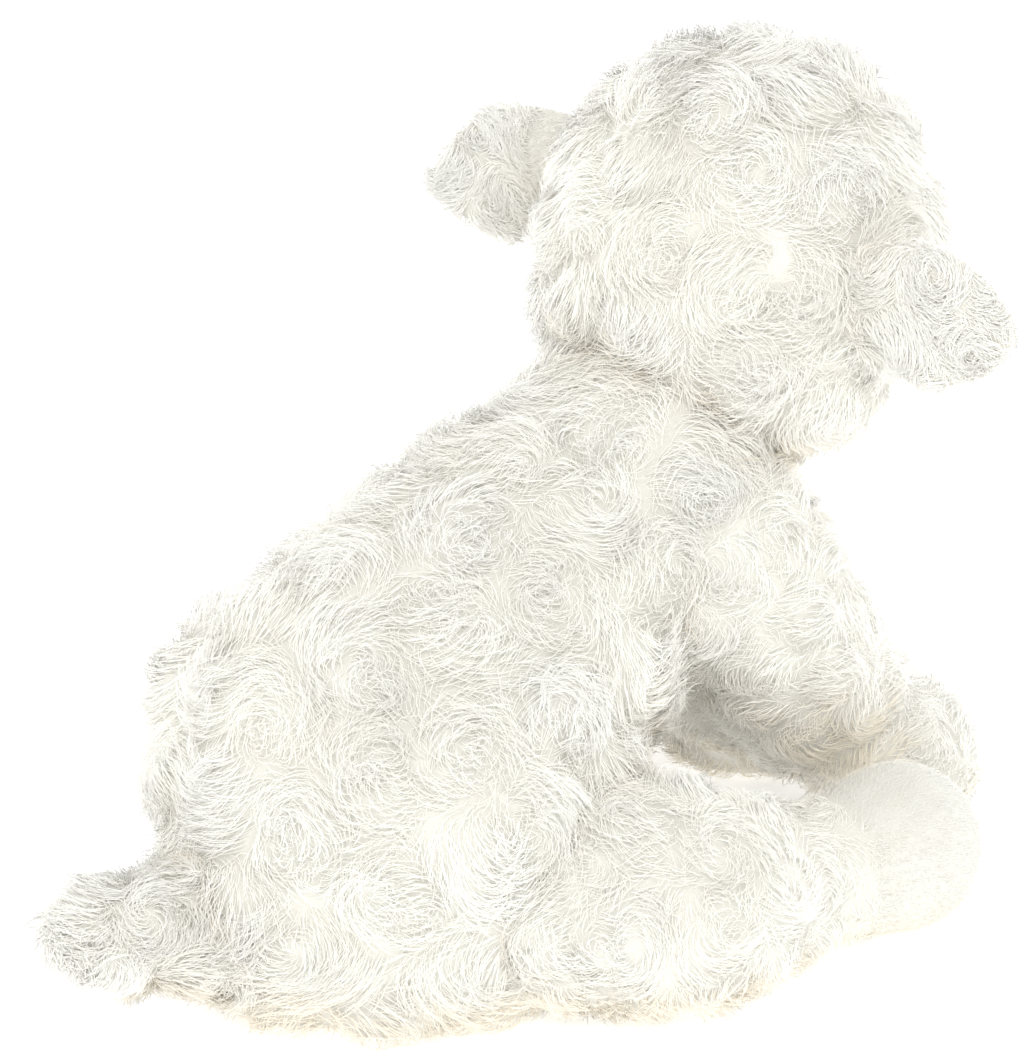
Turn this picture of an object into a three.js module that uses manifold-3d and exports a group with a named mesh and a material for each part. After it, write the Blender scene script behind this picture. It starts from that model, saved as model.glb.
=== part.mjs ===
// A seated plush lamb: sewn covers, the stuffing that fills them, a weighted seat, and a soft joint
// wherever the head, ears, legs and tail are sewn on. Millimetres, +Z up, the lamb faces -Y.
import * as THREE from "three";
import { mergeVertices } from "three/addons/utils/BufferGeometryUtils.js";
import Module from "manifold-3d";

const wasm = await Module();
wasm.setup();

// Places on the lamb are forward of the middle of its seat, out to one side, and up from the floor.
// The frame's origin is under the middle of the whole toy, this far forward of the seat's middle.
const ORIGIN_FORWARD = 47;

// Cloth and gaps
const COVER_THICK = 3;
const SEAT_GAP = 0.3;
const SOCKET_GAP = 1;
const CUT_OVERRUN = 1;
const FACET_TOLERANCE = 0.12;
const FLOOR_CUT = 0.5;

// Torso: a squat seat, and a trunk that leans forward from it to the neck
const SEAT_FORWARD = -4;
const SEAT_RADIUS = 61;
const SEAT_BASE_RADIUS = 45;
const SEAT_HEIGHT = 118;
const TRUNK_REAR = { forward: -2, out: 0, up: 64, radius: 57 };
const TRUNK_WAIST = { forward: 34, out: 0, up: 87, radius: 52 };
const TRUNK_CHEST = { forward: 68, out: 0, up: 108, radius: 42.5 };
const NECK = { forward: 100, out: 0, up: 134, radius: 34 };
const NECK_HOLE_RADIUS = 17;
const NECK_STUFFING_RADIUS = 20;
const BASE_PANEL_RADIUS = 40;
const BEAN_BAG_LENGTH = 62;
const BEAN_BAG_WIDTH = 34;
const BEAN_BAG_HEIGHT = 24;
const BEAN_BAG_SAG_SHARE = 0.3;

// Head, given from its own middle
const HEAD = { forward: 133, out: 0, up: 181, radius: 58 };
const HEAD_TILT_DEG = 7;
const CHEEK = { forward: 22, out: 0, up: -23, radius: 36 };
const SNOUT = { forward: 43, out: 0, up: -33, radius: 26.5 };
const MUZZLE_TIP = { forward: 56, out: 0, up: -37, radius: 19 };
const JAW = { forward: 27, out: 0, up: -47, radius: 26 };
const FACE_PITCH_DEG = 25;
const FACE_SEAM = 30;

// Eyes and nose
const EYE_RADIUS = 6.5;
const EYE_DOME = 4.5;
const EYE_AZIMUTH_DEG = 25;
const EYE_SHANK_RADIUS = 2;
const EYE_SHANK_LENGTH = 13;
const EYE_WASHER_RADIUS = 8;
const EYE_WASHER_THICK = 1.6;
const EYE_WASHER_DEPTH = 6.2;
const NOSE_WIDTH = 17;
const NOSE_HEIGHT = 12;
const NOSE_THICK = 1.8;
const NOSE_PITCH_DEG = 4;

// Ears: a leaf on a round root, cut from two cloths
const EAR_LENGTH = 50;
const EAR_ROOT_RADIUS = 13.5;
const EAR_WIDTH = 34;
const EAR_THICK = 9;
const EAR_EDGE = 3.2;
const EAR_LINING_THICK = 2.6;
const EAR_ROOT = { forward: -11, out: 52, up: 5 };
const LEFT_EAR_DROOP_DEG = 19;
const LEFT_EAR_FORWARD_DEG = -26;
const RIGHT_EAR_DROOP_DEG = -6;
const RIGHT_EAR_FORWARD_DEG = 12;
const EAR_SWING_DEG = 25;
const EARS = {
  left: { droopDeg: LEFT_EAR_DROOP_DEG, forwardDeg: LEFT_EAR_FORWARD_DEG },
  right: { droopDeg: RIGHT_EAR_DROOP_DEG, forwardDeg: RIGHT_EAR_FORWARD_DEG },
};

// Front leg, from the shoulder to the paw
const SHOULDER = { forward: 94, out: 31, up: 105, radius: 21 };
const UPPER_ARM = { forward: 104, out: 33, up: 92, radius: 25 };
const ELBOW = { forward: 123, out: 33, up: 68, radius: 22.5 };
const WRIST = { forward: 147, out: 30, up: 41, radius: 19.5 };
const PAW = { forward: 168, out: 33, up: 18, radius: 23 };
const FRONT_LEG_LIFT_DEG = 20;

// Hind leg, from the hip round the knee to the foot
const HIP = { forward: 10, out: 40, up: 36, radius: 29 };
const KNEE = { forward: 37, out: 70, up: 31.5, radius: 32 };
const ANKLE = { forward: 84, out: 74, up: 23, radius: 21 };
const FOOT = { forward: 116, out: 82, up: 25, radius: 25 };
const HIND_LEG_TURN_OUT_DEG = 20;
const HIND_LEG_LIFT_DEG = 20;
const SOLE_SEAM = 13;

// Curls: the pile stands in low buns, set in rows round the body and the head
const CURL_SPACING = 30;
const CURL_RADIUS = 13;
const CURL_HEIGHT = 6;
const CURL_SINK = 2.2;
const CURL_ROW_SHARE = 0.87;
const CURL_STRAY_SHARE = 0.15;
const CURL_SPINE = { forward: SEAT_FORWARD, out: 0, up: 48, radius: SEAT_RADIUS };
const CURL_UNDERSIDE_SHARE = 0.5;
const CURL_CLEAR_OF_FLOOR = 20;
const CURL_CLEAR_OF_NECK = 20;

// Tail
const TAIL_ROOT = { forward: -60, out: 0, up: 29, radius: 14.5 };
const TAIL_MIDDLE = { forward: -80, out: 4, up: 31, radius: 16 };
const TAIL_TIP = { forward: -101, out: 9, up: 32, radius: 14.5 };
const TAIL_WAG_DEG = 20;

// Counts
const TORSO_SEGMENTS = 20;
const TORSO_INSIDE_SEGMENTS = 14;
const LIMB_SEGMENTS = 14;
const LIMB_INSIDE_SEGMENTS = 10;
const STATION_RING_COUNT = 2;
const SEAT_RING_COUNT = 8;
const SWING_STEP_COUNT = 3;
const CURL_SEGMENTS = 6;
const CURL_RING_COUNT = 4;
const ROOT_HOLE_SHARE = 0.55;

const UP = new THREE.Vector3(0, 0, 1);
const LATERAL = new THREE.Vector3(1, 0, 0);
const radians = THREE.MathUtils.degToRad;

const CURLY = { color: 0xf3f1e6, roughness: 0.95, metalness: 0 };
const SMOOTH = { color: 0xefe8d8, roughness: 0.9, metalness: 0 };
const FIBRE = { color: 0xffffff, roughness: 1, metalness: 0 };
const PELLET_CLOTH = { color: 0xd9d6cc, roughness: 0.9, metalness: 0 };
const BLACK_PLASTIC = { color: 0x120e0c, roughness: 0.15, metalness: 0 };
const WHITE_PLASTIC = { color: 0xe8e8e4, roughness: 0.5, metalness: 0 };
const NOSE_THREAD = { color: 0x8a6a5e, roughness: 0.8, metalness: 0 };

// Places and directions
function place(spot, side = 1) {
  return new THREE.Vector3(side * spot.out, ORIGIN_FORWARD - spot.forward, spot.up);
}

function onHead(spot, side = 1) {
  const offset = new THREE.Vector3(side * spot.out, -spot.forward, spot.up);
  offset.applyAxisAngle(new THREE.Vector3(0, 1, 0), radians(-HEAD_TILT_DEG));
  return place(HEAD).add(offset);
}

function headDirection(pitchDeg, azimuthDeg = 0) {
  const flat = Math.cos(radians(pitchDeg));
  const spot = {
    forward: flat * Math.cos(radians(azimuthDeg)),
    out: flat * Math.sin(radians(azimuthDeg)),
    up: -Math.sin(radians(pitchDeg)),
  };
  return onHead(spot).sub(place(HEAD)).normalize();
}

// Solids
function solidOf(geometry) {
  geometry.deleteAttribute("normal");
  geometry.deleteAttribute("uv");
  const merged = mergeVertices(geometry);
  return new wasm.Manifold(
    new wasm.Mesh({
      numProp: 3,
      vertProperties: new Float32Array(merged.attributes.position.array),
      triVerts: new Uint32Array(merged.index.array),
    }),
  );
}

function meshOf(name, solid, finish) {
  const { vertProperties, triVerts } = solid.simplify(FACET_TOLERANCE).getMesh();
  const geometry = new THREE.BufferGeometry();
  geometry.setAttribute("position", new THREE.BufferAttribute(vertProperties, 3));
  geometry.setIndex(new THREE.BufferAttribute(triVerts, 1));
  geometry.computeVertexNormals();
  const mesh = new THREE.Mesh(geometry, new THREE.MeshStandardMaterial(finish));
  mesh.name = name;
  return mesh;
}

function ball(centre, radius, around = LIMB_SEGMENTS) {
  const geometry = new THREE.SphereGeometry(radius, around, around / 2);
  geometry.rotateX(Math.PI / 2);
  geometry.translate(centre.x, centre.y, centre.z);
  return solidOf(geometry);
}

// One row of rays round an axis, leaning from it by the tilt, each row half a step on from the last.
// Each ray strays a little from its even place.
function curlRow(origin, axis, radius, tilt, row) {
  const first = new THREE.Vector3().crossVectors(LATERAL, axis).normalize();
  const second = new THREE.Vector3().crossVectors(axis, first);
  const count = Math.max(1, Math.round((2 * Math.PI * radius * Math.sin(tilt)) / CURL_SPACING));
  return Array.from({ length: count }, (_, index) => {
    const stray = CURL_STRAY_SHARE * Math.sin(5 * index + 3 * row);
    const about = (2 * Math.PI * (index + row / 2 + stray)) / count;
    const direction = axis.clone().multiplyScalar(Math.cos(tilt));
    direction.addScaledVector(first, Math.sin(tilt) * Math.cos(about));
    direction.addScaledVector(second, Math.sin(tilt) * Math.sin(about));
    return { origin, direction };
  });
}

// Rows over a round end, counted from its pole
function curlRowsOverEnd(centre, pole, radius, reach) {
  const step = (CURL_ROW_SHARE * CURL_SPACING) / radius;
  const rays = [];
  for (let row = 0; (row + 0.5) * step < reach; row++) {
    rays.push(...curlRow(centre, pole, radius, (row + 0.5) * step, row));
  }
  return rays;
}

// Raises a bun wherever a ray comes out of a form, as long as the spot is one to keep
function withCurls(form, rays, keep) {
  const skin = meshOf("skin", form, CURLY);
  skin.material.side = THREE.DoubleSide;
  const buns = [];
  for (const { origin, direction } of rays) {
    const hit = new THREE.Raycaster(origin, direction).intersectObject(skin).at(-1);
    const outward = hit.normal.clone().negate();
    if (outward.z < -CURL_UNDERSIDE_SHARE || !keep(hit.point)) continue;
    const geometry = new THREE.SphereGeometry(1, CURL_SEGMENTS, CURL_RING_COUNT);
    geometry.rotateX(Math.PI / 2);
    geometry.scale(CURL_RADIUS, CURL_RADIUS, CURL_HEIGHT);
    geometry.translate(0, 0, -CURL_SINK);
    geometry.applyQuaternion(new THREE.Quaternion().setFromUnitVectors(UP, outward));
    geometry.translate(hit.point.x, hit.point.y, hit.point.z);
    buns.push(solidOf(geometry));
  }
  return form.add(wasm.Manifold.union(buns));
}

function turnedRod(from, direction, radius, length) {
  const geometry = new THREE.CylinderGeometry(radius, radius, length, LIMB_SEGMENTS);
  geometry.translate(0, length / 2, 0);
  const turn = new THREE.Quaternion().setFromUnitVectors(new THREE.Vector3(0, 1, 0), direction);
  geometry.applyQuaternion(turn);
  geometry.translate(from.x, from.y, from.z);
  return solidOf(geometry);
}

// Everything on the far side of a plane, out to beyond the toy's own size
function beyondPlane(point, direction) {
  const reach = HEAD.up + HEAD.radius;
  const geometry = new THREE.BoxGeometry(2 * reach, 2 * reach, reach);
  geometry.translate(0, 0, reach / 2);
  const turn = new THREE.Quaternion().setFromUnitVectors(UP, direction);
  geometry.applyQuaternion(turn);
  geometry.translate(point.x, point.y, point.z);
  return solidOf(geometry);
}

function onFloor(solid) {
  return solid.subtract(beyondPlane(new THREE.Vector3(), UP.clone().negate()));
}

function aboveCloth(solid) {
  const clothTop = new THREE.Vector3(0, 0, COVER_THICK + SEAT_GAP);
  return solid.subtract(beyondPlane(clothTop, UP.clone().negate()));
}

// A stuffed form: round sections that swell and taper along a curve, with a rounded end at each end.
// The inset draws the surface inwards, for the inside of a cover or for the stuffing.
function stuffed(stations, inset, around) {
  const path = new THREE.CatmullRomCurve3(stations.map((s) => s.at));
  const girth = new THREE.CatmullRomCurve3(stations.map((s) => new THREE.Vector3(s.radius, 0, 0)));
  const steps = (stations.length - 1) * STATION_RING_COUNT;
  const quarter = Math.floor(around / 4);
  const endAngles = Array.from({ length: quarter - 1 }, (_, i) => ((i + 1) * Math.PI) / 2 / quarter);
  const rings = endAngles.map((angle) => ({ t: 0, angle: angle - Math.PI / 2 }));
  for (let step = 0; step <= steps; step++) rings.push({ t: step / steps, angle: 0 });
  rings.push(...endAngles.map((angle) => ({ t: 1, angle })));
  const positions = [];
  const pole = (t, sign) => {
    const radius = girth.getPoint(t).x - inset;
    return path.getPoint(t).addScaledVector(path.getTangent(t), sign * radius);
  };
  positions.push(...pole(0, -1).toArray());
  for (const { t, angle } of rings) {
    const tangent = path.getTangent(t);
    const radius = girth.getPoint(t).x - inset;
    const centre = path.getPoint(t).addScaledVector(tangent, radius * Math.sin(angle));
    const second = new THREE.Vector3().crossVectors(tangent, LATERAL).normalize();
    const first = new THREE.Vector3().crossVectors(second, tangent);
    for (let turn = 0; turn < around; turn++) {
      const about = (2 * Math.PI * turn) / around;
      const point = centre.clone();
      point.addScaledVector(first, radius * Math.cos(angle) * Math.cos(about));
      point.addScaledVector(second, radius * Math.cos(angle) * Math.sin(about));
      positions.push(...point.toArray());
    }
  }
  positions.push(...pole(1, 1).toArray());
  const last = positions.length / 3 - 1;
  const faces = [];
  const vertex = (ring, turn) => 1 + ring * around + (turn % around);
  for (let turn = 0; turn < around; turn++) {
    faces.push(0, vertex(0, turn + 1), vertex(0, turn));
    faces.push(last, vertex(rings.length - 1, turn), vertex(rings.length - 1, turn + 1));
    for (let ring = 0; ring + 1 < rings.length; ring++) {
      const [a, b] = [vertex(ring, turn), vertex(ring, turn + 1)];
      const [c, d] = [vertex(ring + 1, turn), vertex(ring + 1, turn + 1)];
      faces.push(a, b, d, a, d, c);
    }
  }
  const geometry = new THREE.BufferGeometry();
  geometry.setAttribute("position", new THREE.Float32BufferAttribute(positions, 3));
  geometry.setIndex(faces);
  return solidOf(geometry);
}

function limb(spots, side, inset) {
  const stations = spots.map((spot) => ({ at: place(spot, side), radius: spot.radius }));
  return stuffed(stations, inset, inset > 0 ? LIMB_INSIDE_SEGMENTS : LIMB_SEGMENTS);
}

// Turns a solid about an axis through a point
function swung(solid, pivot, axis, degrees) {
  const turn = new THREE.Matrix4().makeTranslation(pivot.x, pivot.y, pivot.z);
  turn.multiply(new THREE.Matrix4().makeRotationAxis(axis, radians(degrees)));
  turn.multiply(new THREE.Matrix4().makeTranslation(-pivot.x, -pivot.y, -pivot.z));
  return solid.transform(turn.elements);
}

// All that a piece's root passes through on its way from one end of its swing to the other
function passageOf(part) {
  const root = part.root(SOCKET_GAP);
  const places = [];
  for (let step = 0; step <= SWING_STEP_COUNT; step++) {
    const degrees = THREE.MathUtils.lerp(part.range[0], part.range[1], step / SWING_STEP_COUNT);
    places.push(swung(root, part.pivot, part.axis, degrees));
  }
  return wasm.Manifold.hull(places);
}

// Limbs: where each is sewn on, the way it swings there, and its form at any inset
function frontLeg(side) {
  const spots = [SHOULDER, UPPER_ARM, ELBOW, WRIST, PAW];
  return {
    pivot: place(SHOULDER, side),
    axis: LATERAL,
    range: [-FRONT_LEG_LIFT_DEG, 0],
    rootRadius: SHOULDER.radius,
    outward: place(UPPER_ARM, side).sub(place(SHOULDER, side)).normalize(),
    form: (inset) => limb(spots, side, inset),
    root: (growth) => limb(spots.slice(0, 2), side, -growth),
  };
}

function hindLeg(side) {
  const spots = [HIP, KNEE, ANKLE, FOOT];
  const turnOut = radians(side * HIND_LEG_TURN_OUT_DEG);
  return {
    pivot: place(HIP, side),
    axis: LATERAL.clone().applyAxisAngle(UP, turnOut),
    range: [-HIND_LEG_LIFT_DEG, 0],
    rootRadius: HIP.radius,
    outward: place(KNEE, side).sub(place(HIP, side)).normalize(),
    form: (inset) => limb(spots, side, inset),
    root: (growth) => limb(spots.slice(0, 2), side, -growth),
  };
}

function tail() {
  const spots = [TAIL_ROOT, TAIL_MIDDLE, TAIL_TIP];
  return {
    pivot: place(TAIL_ROOT),
    axis: UP,
    range: [-TAIL_WAG_DEG, TAIL_WAG_DEG],
    rootRadius: TAIL_ROOT.radius,
    outward: place(TAIL_MIDDLE).sub(place(TAIL_ROOT)).normalize(),
    form: (inset) => limb(spots, 1, inset),
    root: (growth) => limb(spots.slice(0, 2), 1, -growth),
  };
}

// A cover is open where it is sewn to the torso, and its stuffing fills it
function coverOf(part) {
  const holeAt = part.pivot.clone().addScaledVector(part.outward, -part.rootRadius);
  const hollow = part.form(COVER_THICK).add(ball(holeAt, ROOT_HOLE_SHARE * part.rootRadius));
  return onFloor(part.form(0).subtract(onFloor(hollow)));
}

function stuffingOf(part) {
  return aboveCloth(part.form(COVER_THICK + SEAT_GAP));
}

// Torso
function torsoForm(inset) {
  const around = inset > 0 ? TORSO_INSIDE_SEGMENTS : TORSO_SEGMENTS;
  const seat = new THREE.LatheGeometry(seatProfile(inset), around);
  seat.rotateX(Math.PI / 2);
  seat.translate(0, ORIGIN_FORWARD - SEAT_FORWARD, 0);
  const trunk = [TRUNK_REAR, TRUNK_WAIST, TRUNK_CHEST, NECK];
  const stations = trunk.map((spot) => ({ at: place(spot), radius: spot.radius }));
  return solidOf(seat).add(stuffed(stations, inset, around));
}

function seatProfile(inset) {
  const side = new THREE.CatmullRomCurve3([
    new THREE.Vector3(SEAT_BASE_RADIUS, -FLOOR_CUT, 0),
    new THREE.Vector3((SEAT_BASE_RADIUS + 2 * SEAT_RADIUS) / 3, SEAT_HEIGHT / 12, 0),
    new THREE.Vector3(SEAT_RADIUS, SEAT_HEIGHT / 3, 0),
    new THREE.Vector3((SEAT_BASE_RADIUS + SEAT_RADIUS) / 2, (2 * SEAT_HEIGHT) / 3, 0),
    new THREE.Vector3(SEAT_BASE_RADIUS / 2, SEAT_HEIGHT - COVER_THICK, 0),
  ]);
  const profile = [new THREE.Vector2(0, inset - FLOOR_CUT)];
  for (const point of side.getPoints(SEAT_RING_COUNT)) {
    const height = Math.min(Math.max(point.y, inset - FLOOR_CUT), SEAT_HEIGHT - inset);
    profile.push(new THREE.Vector2(point.x - inset, height));
  }
  profile.push(new THREE.Vector2(0, SEAT_HEIGHT - inset));
  return profile;
}

function neckDirection() {
  return place(HEAD).sub(place(NECK)).normalize();
}

function seatMiddle(up) {
  return new THREE.Vector3(0, ORIGIN_FORWARD - SEAT_FORWARD, up);
}

// The torso's curls go over its round rear, then on along its spine to the neck. None stands where the
// head or a limb is sewn on, near the floor or on the belly.
function torsoCurlRays() {
  const rear = place(CURL_SPINE);
  const spine = place(NECK).sub(rear);
  const length = spine.length();
  const ahead = spine.normalize();
  const rowStep = CURL_ROW_SHARE * CURL_SPACING;
  const rays = curlRowsOverEnd(rear, ahead.clone().negate(), CURL_SPINE.radius, Math.PI / 2);
  const rowsBehind = Math.round(((Math.PI / 2) * CURL_SPINE.radius) / rowStep);
  for (let row = 1; (row - 0.5) * rowStep < length; row++) {
    const along = (row - 0.5) * rowStep;
    const radius = THREE.MathUtils.lerp(CURL_SPINE.radius, NECK.radius, along / length);
    const centre = rear.clone().addScaledVector(ahead, along);
    rays.push(...curlRow(centre, ahead.clone().negate(), radius, Math.PI / 2, rowsBehind + row));
  }
  return rays;
}

function curledTorso() {
  const neighbours = [HEAD, UPPER_ARM, SHOULDER, HIP, KNEE, TAIL_ROOT];
  const clearOf = (spot, part, side) => spot.distanceTo(place(part, side)) > part.radius + CURL_RADIUS;
  const keep = (spot) =>
    spot.z > CURL_CLEAR_OF_FLOOR &&
    neighbours.every((part) => clearOf(spot, part, 1) && clearOf(spot, part, -1));
  return withCurls(torsoForm(0), torsoCurlRays(), keep);
}

function basePanelShape(growth) {
  const below = seatMiddle(-CUT_OVERRUN);
  return turnedRod(below, UP, BASE_PANEL_RADIUS + growth, CUT_OVERRUN + COVER_THICK);
}

function torsoPieces(limbs) {
  let cover = curledTorso().subtract(torsoForm(COVER_THICK));
  cover = onFloor(cover).subtract(basePanelShape(SEAT_GAP));
  const neckHole = turnedRod(place(NECK), neckDirection(), NECK_HOLE_RADIUS, 2 * NECK.radius);
  cover = cover.subtract(neckHole);
  let filling = aboveCloth(torsoForm(COVER_THICK + SEAT_GAP));
  filling = filling.subtract(neckHole).subtract(neckBall(SOCKET_GAP));
  for (const part of limbs) {
    const passage = passageOf(part);
    cover = cover.subtract(passage);
    filling = filling.subtract(passage);
  }
  const pouch = beanBag(SEAT_GAP);
  const keep = largestOf(filling.subtract(pouch));
  return [
    meshOf("body_cover", largestOf(cover), CURLY),
    meshOf("base_panel", onFloor(basePanelShape(0)), SMOOTH),
    meshOf("body_stuffing", keep, FIBRE),
    meshOf("bean_bag", beanBag(0), PELLET_CLOTH),
  ];
}

// The cuts can leave a loose crumb of cloth; the piece itself is the largest body
function largestOf(solid) {
  return solid.decompose().reduce((a, b) => (a.volume() > b.volume() ? a : b));
}

// The pouch of pellets lies flat on the base, sagging below its own middle
function beanBag(growth) {
  const geometry = new THREE.SphereGeometry(0.5, LIMB_SEGMENTS, LIMB_SEGMENTS / 2);
  geometry.rotateX(Math.PI / 2);
  geometry.scale(BEAN_BAG_WIDTH + 2 * growth, BEAN_BAG_LENGTH + 2 * growth, BEAN_BAG_HEIGHT + 2 * growth);
  const sag = (0.5 - BEAN_BAG_SAG_SHARE) * BEAN_BAG_HEIGHT;
  const middle = seatMiddle(COVER_THICK + SEAT_GAP + sag);
  geometry.translate(middle.x, middle.y, middle.z);
  return aboveCloth(solidOf(geometry));
}

// A firm ball of fibre in the neck, which the head turns and nods on
function neckBall(growth) {
  return ball(place(NECK), NECK_STUFFING_RADIUS + growth);
}

// Head
function headForm(inset) {
  const around = inset > 0 ? TORSO_INSIDE_SEGMENTS : TORSO_SEGMENTS;
  const cranium = ball(place(HEAD), HEAD.radius - inset, around);
  const jaw = ball(onHead(JAW), JAW.radius - inset, LIMB_SEGMENTS);
  return cranium.add(muzzleForm(inset)).add(jaw);
}

function muzzleForm(inset) {
  const spots = [CHEEK, SNOUT, MUZZLE_TIP];
  const stations = spots.map((spot) => ({ at: onHead(spot), radius: spot.radius }));
  return stuffed(stations, inset, LIMB_SEGMENTS);
}

function faceSeam(shift) {
  const direction = headDirection(FACE_PITCH_DEG);
  return beyondPlane(place(HEAD).addScaledVector(direction, FACE_SEAM + shift), direction);
}

// The head's curls start behind and stop short of the face
function curledHead() {
  const behind = headDirection(FACE_PITCH_DEG).negate();
  const reach = Math.acos(-FACE_SEAM / HEAD.radius) - CURL_RADIUS / HEAD.radius;
  const clear = NECK.radius + CURL_CLEAR_OF_NECK;
  const keep = (spot) => spot.distanceTo(place(NECK)) > clear;
  return withCurls(headForm(0), curlRowsOverEnd(place(HEAD), behind, HEAD.radius, reach), keep);
}

function headPieces(ears) {
  const socket = ball(place(NECK), NECK.radius + SOCKET_GAP, TORSO_SEGMENTS);
  const hollow = headForm(COVER_THICK).add(socket);
  let cover = curledHead().subtract(hollow).subtract(faceSeam(-SEAT_GAP));
  let face = headForm(0).subtract(hollow).intersect(faceSeam(0));
  let filling = headForm(COVER_THICK + SEAT_GAP).subtract(socket);
  for (const ear of ears) {
    const passage = passageOf(ear);
    cover = cover.subtract(passage);
    filling = filling.subtract(passage);
  }
  const eyes = [];
  for (const [sideName, side] of [["left", 1], ["right", -1]]) {
    const eye = eyePieces(side);
    face = face.subtract(eye.shankHole);
    filling = filling.subtract(eye.pocket);
    eyes.push(meshOf(`eye_${sideName}`, eye.dome, BLACK_PLASTIC));
    eyes.push(meshOf(`eye_washer_${sideName}`, eye.washer, WHITE_PLASTIC));
  }
  return [
    meshOf("head_cover", largestOf(cover), CURLY),
    meshOf("face_panel", largestOf(face), SMOOTH),
    meshOf("head_stuffing", largestOf(filling), FIBRE),
    meshOf("nose", nosePatch(), NOSE_THREAD),
    ...eyes,
  ];
}

// A safety eye: a domed button on a shank that goes through the face, held by a washer behind it
function eyePieces(side) {
  const direction = headDirection(0, side * EYE_AZIMUTH_DEG);
  const along = (distance) => place(HEAD).addScaledVector(direction, HEAD.radius + distance);
  const dome = new THREE.LatheGeometry(
    [
      new THREE.Vector2(0, 0),
      new THREE.Vector2(EYE_RADIUS, 0),
      new THREE.Vector2(0.94 * EYE_RADIUS, 0.4 * EYE_DOME),
      new THREE.Vector2(0.7 * EYE_RADIUS, 0.78 * EYE_DOME),
      new THREE.Vector2(0.36 * EYE_RADIUS, 0.95 * EYE_DOME),
      new THREE.Vector2(0, EYE_DOME),
    ],
    LIMB_SEGMENTS,
  );
  const turn = new THREE.Quaternion().setFromUnitVectors(new THREE.Vector3(0, 1, 0), direction);
  dome.applyQuaternion(turn);
  const seat = along(SEAT_GAP);
  dome.translate(seat.x, seat.y, seat.z);
  const shank = turnedRod(along(-EYE_SHANK_LENGTH), direction, EYE_SHANK_RADIUS,
    EYE_SHANK_LENGTH + CUT_OVERRUN);
  const bore = turnedRod(along(-EYE_SHANK_LENGTH), direction, EYE_SHANK_RADIUS + SEAT_GAP,
    EYE_SHANK_LENGTH + CUT_OVERRUN);
  const washer = turnedRod(along(-EYE_WASHER_DEPTH - EYE_WASHER_THICK), direction,
    EYE_WASHER_RADIUS, EYE_WASHER_THICK);
  const pocket = turnedRod(along(-EYE_SHANK_LENGTH - SEAT_GAP), direction,
    EYE_WASHER_RADIUS + SEAT_GAP, EYE_SHANK_LENGTH);
  return {
    dome: solidOf(dome).add(shank),
    washer: washer.subtract(bore),
    shankHole: bore,
    pocket,
  };
}

// The nose is a padded patch that follows the tip of the muzzle
function nosePatch() {
  const direction = headDirection(NOSE_PITCH_DEG);
  const outline = new THREE.Shape();
  outline.moveTo(0, -NOSE_HEIGHT / 2);
  outline.bezierCurveTo(NOSE_WIDTH / 4, -NOSE_HEIGHT / 2, NOSE_WIDTH / 2, 0, NOSE_WIDTH / 2, NOSE_HEIGHT / 4);
  outline.bezierCurveTo(NOSE_WIDTH / 2, NOSE_HEIGHT / 2, NOSE_WIDTH / 4, NOSE_HEIGHT / 2, 0, NOSE_HEIGHT / 2);
  outline.bezierCurveTo(-NOSE_WIDTH / 4, NOSE_HEIGHT / 2, -NOSE_WIDTH / 2, NOSE_HEIGHT / 2,
    -NOSE_WIDTH / 2, NOSE_HEIGHT / 4);
  outline.bezierCurveTo(-NOSE_WIDTH / 2, 0, -NOSE_WIDTH / 4, -NOSE_HEIGHT / 2, 0, -NOSE_HEIGHT / 2);
  const prism = new THREE.ExtrudeGeometry(outline, {
    depth: 2 * MUZZLE_TIP.radius,
    bevelEnabled: false,
    curveSegments: 5,
  });
  // The patch faces forward with its point down, leaning with the head
  const stand = new THREE.Matrix4().makeBasis(
    headDirection(0, 90),
    new THREE.Vector3().crossVectors(direction, headDirection(0, 90)),
    direction,
  );
  prism.applyMatrix4(stand);
  const tip = onHead(MUZZLE_TIP);
  prism.translate(tip.x, tip.y, tip.z);
  const thick = muzzleForm(-NOSE_THICK).intersect(solidOf(prism));
  return thick.subtract(muzzleForm(-SEAT_GAP));
}

// Ear: its leaf lies in a plane through the head's side, and it swings about its round root
function ear(sideName, side) {
  const { droopDeg, forwardDeg } = EARS[sideName];
  const along = headDirection(droopDeg, side * (90 - forwardDeg));
  const back = headDirection(0, 180);
  const normal = back.clone().addScaledVector(along, -back.dot(along)).normalize();
  const across = new THREE.Vector3().crossVectors(normal, along);
  const frame = new THREE.Matrix4().makeBasis(along, across, normal);
  frame.setPosition(onHead(EAR_ROOT, side));
  const leaf = (growth, from, to) => {
    const geometry = new THREE.ExtrudeGeometry(earOutline(growth - EAR_EDGE), {
      depth: EAR_THICK - 2 * EAR_EDGE + 2 * growth,
      bevelThickness: EAR_EDGE,
      bevelSize: EAR_EDGE,
      bevelSegments: 2,
      curveSegments: 6,
    });
    geometry.translate(0, 0, EAR_EDGE - EAR_THICK / 2 - growth);
    const slab = new THREE.BoxGeometry(4 * EAR_LENGTH, 4 * EAR_LENGTH, to - from);
    slab.translate(0, 0, (from + to) / 2);
    return solidOf(geometry).intersect(solidOf(slab)).transform(frame.elements);
  };
  const seam = -EAR_THICK / 2 + EAR_LINING_THICK;
  return {
    pivot: onHead(EAR_ROOT, side),
    axis: normal,
    range: [-EAR_SWING_DEG, EAR_SWING_DEG],
    root: (growth) => leaf(growth, -EAR_THICK, EAR_THICK),
    back: () => leaf(0, seam + SEAT_GAP, EAR_THICK),
    lining: () => leaf(0, -EAR_THICK, seam),
  };
}

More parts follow.
